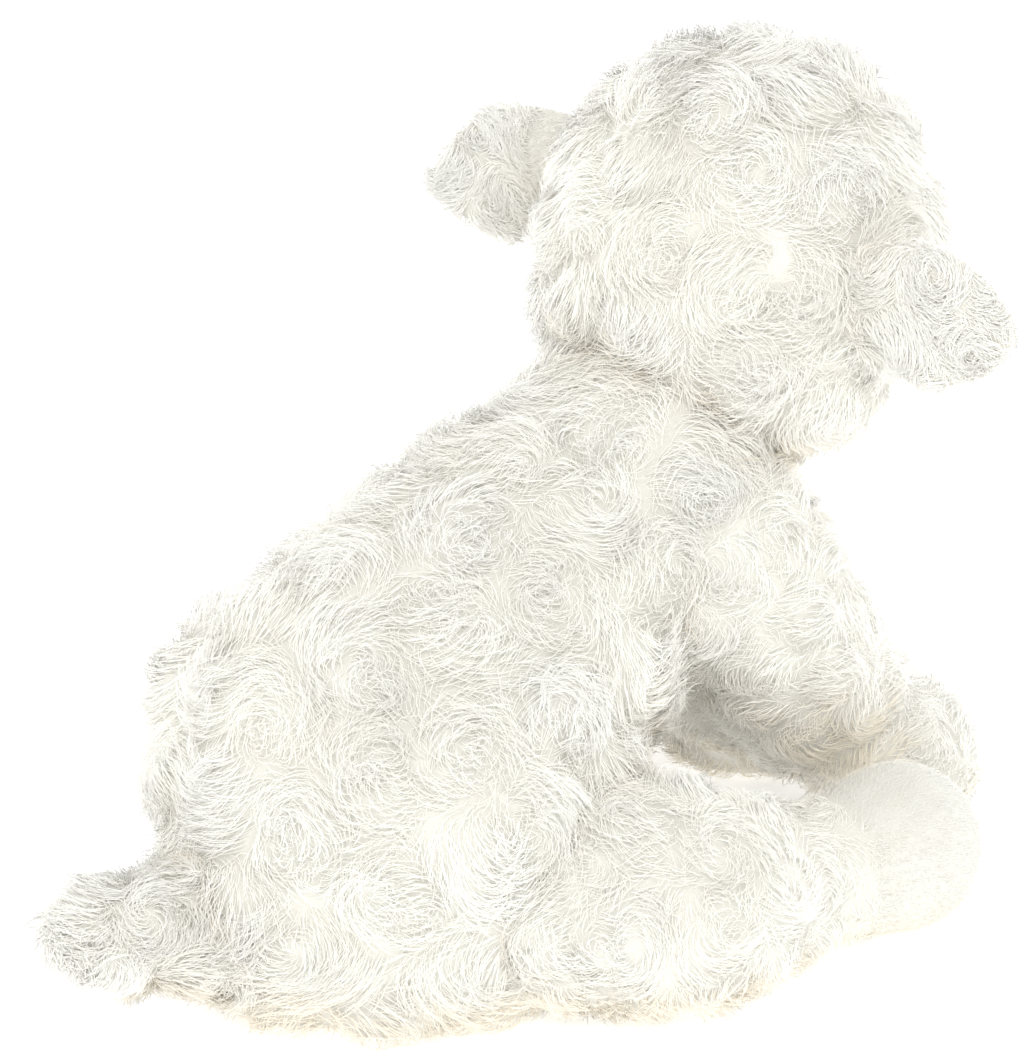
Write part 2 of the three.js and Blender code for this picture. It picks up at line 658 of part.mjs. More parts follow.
function earOutline(growth) {
  const root = EAR_ROOT_RADIUS + growth;
  const half = EAR_WIDTH / 2 + growth;
  const tip = EAR_LENGTH + growth;
  const outline = new THREE.Shape();
  outline.moveTo(0, root);
  outline.absarc(0, 0, root, Math.PI / 2, (3 * Math.PI) / 2, false);
  outline.bezierCurveTo(tip / 4, -root, tip / 3, -half, 0.6 * tip, -half);
  outline.bezierCurveTo(0.85 * tip, -half, tip, -half / 2, tip, 0);
  outline.bezierCurveTo(tip, half / 2, 0.85 * tip, half, 0.6 * tip, half);
  outline.bezierCurveTo(tip / 3, half, tip / 4, root, 0, root);
  return outline;
}

function limbPieces(name, part) {
  return [
    meshOf(`${name}_cover`, coverOf(part), CURLY),
    meshOf(`${name}_stuffing`, stuffingOf(part), FIBRE),
  ];
}

// The hind foot ends in a smooth sole, seamed to the cover round its rim
function hindLegPieces(name, part, side) {
  const ahead = place(FOOT, side).sub(place(ANKLE, side)).normalize();
  const seamAt = place(FOOT, side).addScaledVector(ahead, SOLE_SEAM);
  const cutBack = seamAt.clone().addScaledVector(ahead, -SEAT_GAP);
  const shell = coverOf(part);
  return [
    meshOf(`${name}_cover`, shell.subtract(beyondPlane(cutBack, ahead)), CURLY),
    meshOf(`${name}_sole`, shell.intersect(beyondPlane(seamAt, ahead)), SMOOTH),
    meshOf(`${name}_stuffing`, stuffingOf(part), FIBRE),
  ];
}

const lamb = new THREE.Group();
const SIDES = [["left", 1], ["right", -1]];
const ears = SIDES.map(([sideName, side]) => ear(sideName, side));
const frontLegs = SIDES.map(([, side]) => frontLeg(side));
const hindLegs = SIDES.map(([, side]) => hindLeg(side));
const wag = tail();

lamb.add(...torsoPieces([...frontLegs, ...hindLegs, wag]));
lamb.add(meshOf("neck_stuffing", neckBall(0), FIBRE), ...headPieces(ears));
SIDES.forEach(([sideName, side], index) => {
  lamb.add(meshOf(`ear_back_${sideName}`, ears[index].back(), CURLY));
  lamb.add(meshOf(`ear_lining_${sideName}`, ears[index].lining(), SMOOTH));
  lamb.add(...limbPieces(`front_leg_${sideName}`, frontLegs[index]));
  lamb.add(...hindLegPieces(`hind_leg_${sideName}`, hindLegs[index], side));
});
lamb.add(...limbPieces("tail", wag));

export default lamb;
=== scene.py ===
import math

import bpy
import numpy as np
from mathutils.bvhtree import BVHTree
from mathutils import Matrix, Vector


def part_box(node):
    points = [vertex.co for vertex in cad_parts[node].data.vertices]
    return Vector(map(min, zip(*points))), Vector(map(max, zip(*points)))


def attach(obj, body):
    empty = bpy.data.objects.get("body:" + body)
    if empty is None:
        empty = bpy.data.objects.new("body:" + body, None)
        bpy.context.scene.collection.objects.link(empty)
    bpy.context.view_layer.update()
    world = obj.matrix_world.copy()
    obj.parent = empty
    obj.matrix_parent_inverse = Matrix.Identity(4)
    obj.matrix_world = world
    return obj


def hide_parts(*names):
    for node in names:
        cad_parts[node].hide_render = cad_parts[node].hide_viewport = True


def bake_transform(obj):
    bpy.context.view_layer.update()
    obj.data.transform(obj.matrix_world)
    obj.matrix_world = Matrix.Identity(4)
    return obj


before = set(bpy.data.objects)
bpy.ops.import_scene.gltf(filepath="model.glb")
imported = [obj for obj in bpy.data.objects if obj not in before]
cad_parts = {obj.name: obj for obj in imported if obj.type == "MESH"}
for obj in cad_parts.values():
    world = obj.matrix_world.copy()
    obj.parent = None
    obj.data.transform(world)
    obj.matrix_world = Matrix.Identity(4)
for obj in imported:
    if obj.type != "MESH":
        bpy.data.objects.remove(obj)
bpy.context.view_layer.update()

# Body: one bag of plush whose pile is set in curls, sewn from panels that meet along the back and
# belly, turned right side out and stuffed firm with fibre. The seat spreads where it rests, and the
# front end narrows to the neck, where the head is sewn on.


def only(*pieces):
    bpy.ops.object.select_all(action="DESELECT")
    for piece in pieces:
        piece.select_set(True)
    bpy.context.view_layer.objects.active = pieces[0]


def finish_with(piece, kind, **settings):
    """Adds one modifier and applies it."""
    modifier = piece.modifiers.new(kind.title(), kind)
    for name, value in settings.items():
        setattr(modifier, name, value)
    only(piece)
    bpy.ops.object.modifier_apply(modifier=modifier.name)


def points_of(piece):
    co = np.empty(len(piece.data.vertices) * 3, np.float32)
    piece.data.vertices.foreach_get("co", co)
    return co.reshape(-1, 3).astype(float)


def normals_of(piece):
    normals = np.empty(len(piece.data.vertices) * 3, np.float32)
    piece.data.vertices.foreach_get("normal", normals)
    return normals.reshape(-1, 3).astype(float)


def move_points(piece, points):
    piece.data.vertices.foreach_set("co", points.astype(np.float32).ravel())
    piece.data.update()


FLOOR_GAP = 0.0008


def rest(piece, points):
    """Moves the points of a skin, which lies flat where it rests on the floor."""
    points[:, 2] = np.maximum(points[:, 2], FLOOR_GAP)
    move_points(piece, points)


def add_ball(radius, spot, segments=32):
    bpy.ops.object.select_all(action="DESELECT")
    bpy.ops.mesh.primitive_uv_sphere_add(
        segments=segments, ring_count=segments // 2, radius=radius, location=spot
    )
    return bpy.context.object


def unit(vectors):
    return vectors / np.maximum(np.linalg.norm(vectors, axis=-1, keepdims=True), 1e-12)


def balls_along(stations, per_span):
    """Balls (x, y, z, radius) along a smooth path through the stations."""
    s = np.array(stations, float)
    s = np.vstack([2 * s[0] - s[1], s, 2 * s[-1] - s[-2]])
    balls = []
    for i in range(1, len(s) - 2):
        a, b, c, d = s[i - 1 : i + 3]
        for t in np.arange(per_span) / per_span:
            balls.append(
                0.5 * (2 * b + (c - a) * t + (2 * a - 5 * b + 4 * c - d) * t**2
                       + (3 * b - a - 3 * c + d) * t**3)
            )
    balls.append(s[-2])
    return np.array(balls)


def outside(points, balls):
    """How far each point is outside a form made of balls; less than zero is inside."""
    far = np.full(len(points), 1e9)
    for x, y, z, radius in balls:
        far = np.minimum(far, np.linalg.norm(points - (x, y, z), axis=1) - radius)
    return far


def drawn_in(balls, depth):
    """The same form under a pile this deep."""
    return balls - (0, 0, 0, depth)


def stuffed(name, balls, voxel, smoothing):
    """Draws one skin over a row of balls, cut flat where it rests on the floor."""
    only(*[add_ball(radius, (x, y, z)) for x, y, z, radius in balls])
    bpy.ops.object.join()
    piece = bpy.context.object
    piece.name = name
    bpy.ops.object.transform_apply(location=True, rotation=True, scale=True)
    bpy.ops.object.mode_set(mode="EDIT")
    bpy.ops.mesh.select_all(action="DESELECT")
    bpy.ops.object.mode_set(mode="OBJECT")
    piece.data.remesh_voxel_size = voxel
    bpy.ops.object.voxel_remesh()
    finish_with(piece, "SMOOTH", factor=0.5, iterations=smoothing)
    rest(piece, points_of(piece))
    return piece


CLOTH_FRAMES = 20


def plump(piece, swell):
    """Fills the cover: the cloth is blown out against its own stretch, by at most swell."""
    before = points_of(piece)
    cloth = piece.modifiers.new("Cloth", "CLOTH")
    cloth.settings.quality = 4
    cloth.settings.use_pressure = True
    cloth.settings.uniform_pressure_force = 4
    cloth.settings.effector_weights.gravity = 0
    cloth.point_cache.frame_start = 1
    cloth.point_cache.frame_end = CLOTH_FRAMES
    for step in range(1, CLOTH_FRAMES + 1):
        bpy.context.scene.frame_set(step)
    only(piece)
    bpy.ops.object.modifier_apply(modifier=cloth.name)
    bpy.context.scene.frame_set(1)
    moved = points_of(piece) - before
    reach = np.linalg.norm(moved, axis=1, keepdims=True)
    moved *= np.minimum(1, swell / np.maximum(reach, 1e-9))
    rest(piece, before + moved)
    finish_with(piece, "SUBSURF", levels=1, render_levels=1)


def fillet(piece, own, others, width):
    """Where two stuffed forms meet, the plush bridges the crease, so each skin rises to the other."""
    points, normals = points_of(piece), normals_of(piece)
    for balls in others:
        gap = np.abs(outside(points, balls) - np.maximum(outside(points, own), 0))
        rise = np.clip(1 - gap / width, 0, 1) ** 2 * width / 4
        points += normals * rise[:, None]
    rest(piece, points)


CURL_TRIES = 6000
FACING_COST = 0.0003


def curls_on(piece, spacing, seed):
    """Picks the middles of the curls over a skin, each with its own turn, size and lean."""
    rng = np.random.default_rng(seed)
    points, normals = points_of(piece), normals_of(piece)
    order = rng.permutation(len(points))[:CURL_TRIES]
    chosen = []
    for i in order:
        near = spacing * rng.uniform(0.8, 1.2)
        if all(
            np.sum((points[i] - points[k]) ** 2) + FACING_COST * (1 - normals[i] @ normals[k]) > near**2
            for k in chosen
        ):
            chosen.append(i)
    return curl_set(points[chosen], normals[chosen], spacing, rng)


CURL_SPACING = 0.030
CURL_STRAY_SHARE = 0.15
ROW_SHARE = 0.87


def curl_row(origin, axis, radius, tilt, row):
    """One row of rays round an axis, leaning from it by the tilt, half a step on from the last row."""
    first = unit(np.cross((1, 0, 0), axis))
    second = np.cross(axis, first)
    count = max(1, math.floor(2 * math.pi * radius * math.sin(tilt) / CURL_SPACING + 0.5))
    rays = []
    for index in range(count):
        stray = CURL_STRAY_SHARE * math.sin(5 * index + 3 * row)
        about = 2 * math.pi * (index + row / 2 + stray) / count
        aside = math.cos(about) * first + math.sin(about) * second
        rays.append((origin, math.cos(tilt) * axis + math.sin(tilt) * aside))
    return rays


def curl_rows_over_end(centre, pole, radius, reach):
    step = ROW_SHARE * CURL_SPACING / radius
    rows = math.ceil(reach / step - 0.5)
    return [
        ray
        for row in range(rows)
        for ray in curl_row(centre, pole, radius, (row + 0.5) * step, row)
    ]


def curls_at(piece, balls, rays, seed):
    """A curl wherever a ray comes out of the form, each with its own turn, size and lean."""
    rng = np.random.default_rng(seed)
    origins = np.array([origin for origin, _ in rays])
    ways = np.array([way for _, way in rays])
    far = np.full(len(rays), 0.15)
    for _ in range(60):
        far -= 0.9 * outside(origins + far[:, None] * ways, balls)
    spots = origins + far[:, None] * ways
    points, normals = points_of(piece), normals_of(piece)
    chosen = [int(np.argmin(np.sum((points - spot) ** 2, axis=1))) for spot in spots]
    return curl_set(points[chosen], normals[chosen], CURL_SPACING, rng)


def curl_set(at, normal, spacing, rng):
    count = len(at)
    return {
        "at": at,
        "normal": normal,
        "turn": rng.choice([-1.0, 1.0], count),
        "inward": rng.uniform(0.15, 0.75, count),
        "rise": rng.uniform(0.7, 1.1, count),
        "tone": rng.uniform(0, 1, count),
        "lean": rng.normal(0, 0.25, (count, 3)),
        "eye": at + rng.normal(0, 0.11 * spacing, (count, 3)),
        "spacing": spacing,
    }


def nearest_curl(points, normals, curls):
    """The nearest curl to each point, how far its middle is, and how far the next one's is."""
    which = np.zeros(len(points), int)
    first = np.full(len(points), 1e9)
    second = np.full(len(points), 1e9)
    for k, (at, normal) in enumerate(zip(curls["at"], curls["normal"])):
        cost = np.sqrt(
            np.sum((points - at) ** 2, axis=1) + FACING_COST * np.maximum(0, 1 - normals @ normal)
        )
        closer = cost < first
        second = np.where(closer, first, np.minimum(second, cost))
        which = np.where(closer, k, which)
        first = np.where(closer, cost, first)
    return which, first, second


def mound(points, normals, curls, height):
    """Each curl stands up as a low bun with a valley round it."""
    which, first, second = nearest_curl(points, normals, curls)
    bun = np.clip(1 - (first / (0.62 * curls["spacing"])) ** 2, 0, 1)
    valley = np.clip((second - first) / (0.35 * curls["spacing"]), 0, 1)
    return height * curls["rise"][which] * bun * valley


def raise_mounds(piece, curls, height, share=lambda points: 1):
    points, normals = points_of(piece), normals_of(piece)
    points += normals * (mound(points, normals, curls, height) * share(points))[:, None]
    rest(piece, points)


def scatter(piece, count, seed):
    """Points spread evenly by area over a skin, with the skin's direction at each."""
    rng = np.random.default_rng(seed)
    mesh = piece.data
    mesh.calc_loop_triangles()
    corners = np.empty(len(mesh.loop_triangles) * 3, np.int32)
    mesh.loop_triangles.foreach_get("vertices", corners)
    corners = corners.reshape(-1, 3)
    points, normals = points_of(piece), normals_of(piece)
    a, b, c = (points[corners[:, k]] for k in range(3))
    area = np.linalg.norm(np.cross(b - a, c - a), axis=1)
    edges = np.cumsum(area) / area.sum()
    picked = np.searchsorted(edges, (np.arange(count) + rng.uniform(0, 1, count)) / count)
    picked = np.minimum(picked, len(corners) - 1)
    u, v = np.sqrt(rng.uniform(0, 1, count)), rng.uniform(0, 1, count)
    weights = np.stack([1 - u, u * (1 - v), u * v], axis=1)
    at = np.einsum("nk,nkd->nd", weights, points[corners[picked]])
    normal = unit(np.einsum("nk,nkd->nd", weights, normals[corners[picked]]))
    return at, normal


FIBRE_STEPS = 3
LOOSE = 0.12
GUARD_SHARE = 0.06
GUARD_RISE = 12
OUTWARD_SHARE = 0.3


def comb(at, normal, curls, length, seed, slope=(40, 4), comb_to=(0, 0.4, -1)):
    """The line of every fibre: it starts along its curl's whorl, bends over and follows it round."""
    rng = np.random.default_rng(seed)
    count = len(at)
    which, first, second = nearest_curl(at, normal, curls)
    outwards = at - curls["eye"][which]
    outwards -= np.sum(outwards * normal, axis=1, keepdims=True) * normal
    reach = np.maximum(np.linalg.norm(outwards, axis=1), 1e-5)
    outwards /= reach[:, None]
    turn = curls["turn"][which]
    swirl = turn * np.clip(reach / (0.2 * curls["spacing"]), 0.1, 1)
    around = np.cross(normal, outwards) * swirl[:, None]
    inward = curls["inward"][which] * np.clip(reach / (0.3 * curls["spacing"]), 0, 1)
    inward *= np.where(rng.uniform(0, 1, count) < OUTWARD_SHARE, -1.2, 1)
    drift = np.zeros((count, 3))
    for _ in range(8):
        wave_way = rng.normal(0, 1, 3)
        wave_size = rng.uniform(300, 700)
        wave = np.sin(at @ unit(wave_way) * wave_size + rng.uniform(0, 6))
        drift += wave[:, None] * rng.normal(0, 0.2, 3)
    down = np.array(comb_to, float)
    down = down - (normal @ down)[:, None] * normal
    way = around - inward[:, None] * outwards + 0.25 * down + curls["lean"][which]
    way += drift + rng.normal(0, LOOSE, (count, 3))
    way -= np.sum(way * normal, axis=1, keepdims=True) * normal
    way = unit(way)
    across = np.cross(normal, way)
    bend = turn * np.clip(length / np.maximum(reach, 0.006), 0, 1.7)
    bend *= rng.uniform(0.7, 1.2, count)
    guard = np.where(rng.uniform(0, 1, count) < GUARD_SHARE, GUARD_RISE, 0)
    steep = np.radians(slope[0] + rng.normal(0, 6, count) + guard)
    flat = np.radians(slope[1] + rng.normal(0, 6, count) + guard)
    edge = np.clip((second - first) / (0.3 * curls["spacing"]), 0, 1)
    steep *= 0.75 + 0.25 * edge
    path = [at - 0.0004 * normal]
    for step in range(FIBRE_STEPS):
        share = step / (FIBRE_STEPS - 1)
        climb = steep + (flat - steep) * share
        turned = bend * (step + 0.5) / FIBRE_STEPS
        forward = np.cos(turned)[:, None] * way + np.sin(turned)[:, None] * across
        move = np.cos(climb)[:, None] * forward + np.sin(climb)[:, None] * normal
        path.append(path[-1] + move * (length / FIBRE_STEPS)[:, None])
    tone = 0.62 * curls["tone"][which] + 0.38 * rng.uniform(0, 1, count)
    return np.stack(path, axis=1), tone, which


FIBRE_WIDTH = 0.00013
FIBRE_LOWEST = 0.0006


def strands(name, path, normal, tone, width, taper=(1.0, 0.95, 0.62)):
    """One mesh of fine three-sided fibres, each closed at its root and drawn to a point."""
    count, knots = path.shape[:2]
    path = path.copy()
    path[:, :, 2] = np.maximum(path[:, :, 2], FIBRE_LOWEST)
    along = unit(np.gradient(path, axis=1))
    side = unit(np.cross(along, normal[:, None, :]))
    up = np.cross(side, along)
    rings = []
    facing = []
    for k in range(knots - 1):
        for angle in (math.pi / 2, 7 * math.pi / 6, 11 * math.pi / 6):
            out = math.cos(angle) * side[:, k] + math.sin(angle) * up[:, k]
            rings.append(path[:, k] + out * (width * taper[k])[:, None])
            facing.append(unit(0.8 * out + 0.4 * normal))
    rings.append(path[:, -1])
    facing.append(normal)
    points = np.stack(rings, axis=1)
    facing = np.stack(facing, axis=1)
    per = points.shape[1]
    faces = [(0, 1, 2)]
    for k in range(knots - 2):
        for i in range(3):
            a, b = 3 * k + i, 3 * k + (i + 1) % 3
            c, d = b + 3, a + 3
            faces += [(a, d, c), (a, c, b)]
    last = 3 * (knots - 2)
    faces += [(last + i, per - 1, last + (i + 1) % 3) for i in range(3)]
    faces = np.array(faces)
    corners = (faces[None] + per * np.arange(count)[:, None, None]).reshape(-1)
    mesh = bpy.data.meshes.new(name)
    mesh.vertices.add(count * per)
    mesh.vertices.foreach_set("co", points.astype(np.float32).ravel())
    mesh.loops.add(len(corners))
    mesh.loops.foreach_set("vertex_index", corners.astype(np.int32))
    mesh.polygons.add(len(corners) // 3)
    mesh.polygons.foreach_set("loop_start", np.arange(0, len(corners), 3, dtype=np.int32))
    height = np.array([k // 3 / (knots - 1) for k in range(per - 1)] + [1.0])
    uv = np.empty((count, faces.size, 2))
    uv[:, :, 0] = 0.02 + 0.96 * tone[:, None]
    uv[:, :, 1] = 0.02 + 0.96 * height[faces.ravel()][None]
    layer = mesh.uv_layers.new(name="OFBake")
    layer.data.foreach_set("uv", uv.astype(np.float32).ravel())
    mesh.update()
    mesh.normals_split_custom_set_from_vertices(facing.reshape(-1, 3).astype(np.float32))
    piece = bpy.data.objects.new(name, mesh)
    bpy.context.scene.collection.objects.link(piece)
    return piece


def node(tree, kind, **inputs):
    made = tree.nodes.new(kind)
    for name, value in inputs.items():
        made.inputs[name.replace("_", " ")].default_value = value
    return made


def pile_material(name, root, tip, shade):
    """Pile painted darker towards its root, as shade deep in the pile, varying in tone from curl to curl,
    and painted a warmer, darker cream in the nooks, as shade where another piece or the floor is close.
    """
    material = bpy.data.materials.new(name)
    material.use_nodes = True
    tree = material.node_tree
    surface = tree.nodes["Principled BSDF"]
    uv = tree.nodes.new("ShaderNodeUVMap")
    uv.uv_map = "OFBake"
    split = tree.nodes.new("ShaderNodeSeparateXYZ")
    # Painted shade: the root colour is darker than the tip, standing in for the shade deep in the pile.
    ramp = tree.nodes.new("ShaderNodeValToRGB")
    ramp.color_ramp.elements[0].color = (*root, 1)
    ramp.color_ramp.elements[1].color = (*tip, 1)
    ramp.color_ramp.elements[1].position = 0.7
    # Painted shade: below 0.4 this ramp runs down to a warmer, darker cream, which only pile in the nooks
    # reaches.
    tone_and_nook_shade = tree.nodes.new("ShaderNodeValToRGB")
    tone_and_nook_shade.color_ramp.elements[0].color = (0.96, 0.895, 0.79, 1)
    tone_and_nook_shade.color_ramp.elements[1].color = (1, 1, 1, 1)
    tone_and_nook_shade.color_ramp.elements.new(0.4).color = (*shade, 1)
    mix = tree.nodes.new("ShaderNodeMix")
    mix.data_type = "RGBA"
    mix.blend_type = "MULTIPLY"
    mix.inputs["Factor"].default_value = 1
    link = tree.links.new
    link(uv.outputs["UV"], split.inputs["Vector"])
    link(split.outputs["Y"], ramp.inputs["Fac"])
    link(split.outputs["X"], tone_and_nook_shade.inputs["Fac"])
    link(ramp.outputs["Color"], mix.inputs[6])
    link(tone_and_nook_shade.outputs["Color"], mix.inputs[7])
    link(mix.outputs[2], surface.inputs["Base Color"])
    surface.inputs["Roughness"].default_value = 0.75
    surface.inputs["Specular IOR Level"].default_value = 0.2
    surface.inputs["Sheen Weight"].default_value = 0.4
    return material


def backing_material(name, pale, deep):
    """The knitted backing that the pile stands in: it shows only between the curls, and its colours are
    set darker than the pile's as painted shade in the valleys between the curls.
    """
    material = bpy.data.materials.new(name)
    material.use_nodes = True
    tree = material.node_tree
    surface = tree.nodes["Principled BSDF"]
    place = tree.nodes.new("ShaderNodeTexCoord")
    blotch = node(tree, "ShaderNodeTexNoise", Scale=90.0, Detail=4.0, Roughness=0.6)
    fuzz = node(tree, "ShaderNodeTexNoise", Scale=900.0, Detail=3.0, Roughness=0.7)
    ramp = tree.nodes.new("ShaderNodeValToRGB")
    ramp.color_ramp.elements[0].color = (*deep, 1)
    ramp.color_ramp.elements[0].position = 0.3
    ramp.color_ramp.elements[1].color = (*pale, 1)
    ramp.color_ramp.elements[1].position = 0.7
    bump = node(tree, "ShaderNodeBump", Strength=0.6, Distance=0.0008)
    link = tree.links.new
    link(place.outputs["Object"], blotch.inputs["Vector"])
    link(place.outputs["Object"], fuzz.inputs["Vector"])
    link(blotch.outputs["Fac"], ramp.inputs["Fac"])
    link(ramp.outputs["Color"], surface.inputs["Base Color"])
    link(fuzz.outputs["Fac"], bump.inputs["Height"])
    link(bump.outputs["Normal"], surface.inputs["Normal"])
    surface.inputs["Roughness"].default_value = 0.9
    surface.inputs["Specular IOR Level"].default_value = 0.15
    surface.inputs["Sheen Weight"].default_value = 0.2
    return material


CURL_BUNDLE = 12000
NOOK_REACH = 0.024
NOOK_PAINTED_SHADE = 0.95
DENSITY = 1.0
# Painted shade: each pile's root colour is darker than its tip, for the shade deep in the pile.
curly_pile = pile_material("curly_pile", (0.93, 0.915, 0.865), (0.96, 0.955, 0.92), (0.97, 0.96, 0.93))
# Painted shade: the backing is set well below the pile's colour, for the shade in the valleys between the
# curls.
curly_backing_painted_shade = backing_material("curly_backing_painted_shade", (0.70, 0.686, 0.63), (0.665, 0.646, 0.59))


def nook_for_painted_shade(at, normal):
    """How nearly a point faces another piece, or the floor, close by; this sets how much painted nook
    shade its pile gets.
    """
    ahead = at + NOOK_REACH * normal
    near = np.min([outside(ahead, balls) for balls in FORMS], axis=0)
    near = np.minimum(near, ahead[:, 2])
    return np.clip(1 - near / NOOK_REACH, 0, 1)


def cover_with_curls(name, skin, hang, curls, count, length_at, keep, seed, **lay):
    """Grows the pile of one skin, in bundles small enough for one mesh each."""
    at, normal = scatter(skin, int(count * DENSITY), seed)
    kept = keep(at, normal)
    at, normal = at[kept], normal[kept]
    rng = np.random.default_rng(seed + 1)
    length = length_at(at, normal) * rng.uniform(0.75, 1.15, len(at))
    path, tone, which = comb(at, normal, curls, length, seed + 2, **lay)
    # Painted shade: the tone is pulled down towards the warm nook colour where the pile faces another
    # piece or the floor close by.
    tone = (0.4 + 0.6 * tone) * (1 - NOOK_PAINTED_SHADE * nook_for_painted_shade(at, normal))
    bundles = math.ceil(len(at) / CURL_BUNDLE)
    order = np.argsort(curls["at"][which][:, 1] + 1e-6 * which, kind="stable")
    for k, rows in enumerate(np.array_split(order, bundles)):
        label = name if bundles == 1 else f"{name}_{k + 1}"
        wide = FIBRE_WIDTH * rng.uniform(0.75, 1.25, len(rows))
        piece = strands(label, path[rows], normal[rows], tone[rows], wide)
        piece.data.materials.append(curly_pile)
        hang(piece)


SEAT_BALLS = np.array([(0, 0.051, 0.038, 0.060), (0, 0.051, 0.046, 0.061), (0, 0.051, 0.062, 0.058)])
TRUNK_BALLS = balls_along(
    [
        (0, 0.049, 0.064, 0.057),
        (0, 0.013, 0.087, 0.052),
        (0, -0.021, 0.108, 0.0425),
        (0, -0.053, 0.134, 0.034),
    ],
    6,
)
HIP_BALLS = np.array([(side * 0.024, 0.060, 0.062, 0.043) for side in (1, -1)])
BODY_BALLS = np.vstack([SEAT_BALLS, TRUNK_BALLS, HIP_BALLS])


def hind_leg_balls(side):
    return balls_along(
        [
            (side * 0.040, 0.037, 0.036, 0.029),
            (side * 0.070, 0.010, 0.0315, 0.032),
            (side * 0.074, -0.037, 0.023, 0.021),
            (side * 0.082, -0.069, 0.025, 0.025),
        ],
        6,
    )


def front_leg_balls(side):
    return balls_along(
        [
            (side * 0.031, -0.047, 0.105, 0.021),
            (side * 0.033, -0.057, 0.092, 0.025),
            (side * 0.033, -0.076, 0.068, 0.0225),
            (side * 0.030, -0.100, 0.041, 0.0195),
            (side * 0.033, -0.121, 0.018, 0.023),
        ],
        5,
    )


TAIL_BALLS = balls_along(
    [(0, 0.107, 0.029, 0.0145), (0.004, 0.127, 0.031, 0.016), (0.009, 0.144, 0.032, 0.0145)], 5
)
LIMB_BALLS = [hind_leg_balls(1), hind_leg_balls(-1), front_leg_balls(1), front_leg_balls(-1), TAIL_BALLS]
BODY_PILE = 0.0125
CURL_MOUND = 0.0034
HIP_CREASE = 0.026
SPINE_REAR = np.array([0, 0.051, 0.048])
SPINE_RADIUS = 0.061
NECK = np.array([0, -0.053, 0.134])
NECK_RADIUS = 0.034

body = stuffed("body", drawn_in(BODY_BALLS, 0.0022), 0.005, 8)
plump(body, 0.003)
fillet(body, BODY_BALLS, LIMB_BALLS, HIP_CREASE)


def body_rays():
    """Rows over the round rear, then on along the spine to the neck."""
    length = np.linalg.norm(NECK - SPINE_REAR)
    ahead = unit(NECK - SPINE_REAR)
    step = ROW_SHARE * CURL_SPACING
    rays = curl_rows_over_end(SPINE_REAR, -ahead, SPINE_RADIUS, math.pi / 2)
    behind = math.floor(math.pi / 2 * SPINE_RADIUS / step + 0.5)
    for row in range(1, math.ceil(length / step + 0.5)):
        along = (row - 0.5) * step
        radius = SPINE_RADIUS + (NECK_RADIUS - SPINE_RADIUS) * along / length
        rays += curl_row(SPINE_REAR + along * ahead, -ahead, radius, math.pi / 2, behind + row)
    return rays


body_curls = curls_at(body, BODY_BALLS, body_rays(), 11)
raise_mounds(body, body_curls, CURL_MOUND)
body.data.materials.append(curly_backing_painted_shade)
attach(body, "torso")
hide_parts("body_cover", "body_stuffing")


PILE_LOWEST = 0.0015
PRESSED = -0.001


def clear_of(*forms):
    """No pile grows underneath, or where a skin is pressed into one of these forms."""

    def keep(at, normal):
        kept = at[:, 2] > PILE_LOWEST
        for balls in forms:
            kept &= outside(at, balls) > PRESSED
        return kept

    return keep


def even(length):
    return lambda at, normal: np.full(len(at), length)


HEAD_MIDDLE = np.array([0, -0.086, 0.181])
HEAD_TILT = math.radians(7)


def on_head(forward, out, up):
    lean, rise = math.sin(HEAD_TILT), math.cos(HEAD_TILT)
    return HEAD_MIDDLE + (out * rise - up * lean, -forward, out * lean + up * rise)


CRANIUM_BALLS = np.array([(*HEAD_MIDDLE, 0.058)])
MUZZLE_BALLS = balls_along(
    [
        (*on_head(0.022, 0, -0.023), 0.036),
        (*on_head(0.043, 0, -0.033), 0.0265),
        (*on_head(0.056, 0, -0.037), 0.019),
    ],
    5,
)
JAW_BALLS = np.array([(*on_head(0.027, 0, -0.047), 0.026)])
HEAD_BALLS = np.vstack([CRANIUM_BALLS, MUZZLE_BALLS, JAW_BALLS])
FORMS = [BODY_BALLS, HEAD_BALLS, *LIMB_BALLS]

cover_with_curls(
    "body_curls", body, lambda piece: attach(piece, "torso"), body_curls,
    42000, even(BODY_PILE), clear_of(*LIMB_BALLS, HEAD_BALLS), 101,
)

# Seat panel: a round of smooth cloth closes the body underneath, and its edge is turned in and
# sewn to the plush all the way round.
bpy.ops.object.select_all(action="DESELECT")
bpy.ops.mesh.primitive_cylinder_add(vertices=96, radius=0.039, depth=0.0022, location=(0, 0.051, 0.0013))
base_panel = bpy.context.object
base_panel.name = "seat_panel"
bpy.ops.object.transform_apply(location=True, rotation=True, scale=True)
finish_with(base_panel, "BEVEL", width=0.0008, segments=3)
base_panel.data.materials.append(curly_backing_painted_shade)
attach(base_panel, "torso")
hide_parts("base_panel")

# Pellet pouch: a small sewn bag of pellets lies inside on the seat panel, sags over it and keeps
# the lamb sitting upright.
POUCH_LOWEST = 0.0036
pouch = add_ball(1, (0, 0.051, 0.008))
pouch.name = "pellet_pouch"
pouch.scale = (0.017, 0.031, 0.011)
bpy.ops.object.transform_apply(location=True, rotation=True, scale=True)
sagged = points_of(pouch)
sagged[:, 2] = np.maximum(sagged[:, 2], POUCH_LOWEST)
move_points(pouch, sagged)
pouch.data.materials.append(curly_backing_painted_shade)
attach(pouch, "torso")
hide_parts("bean_bag")

# Neck filling: a firm ball of fibre sits in the mouth of the neck, and the head turns on it.
neck_ball = add_ball(0.0195, tuple(NECK))
neck_ball.name = "neck_filling"
bpy.ops.object.transform_apply(location=True, rotation=True, scale=True)
neck_ball.data.materials.append(curly_backing_painted_shade)
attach(neck_ball, "neck")
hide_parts("neck_stuffing")

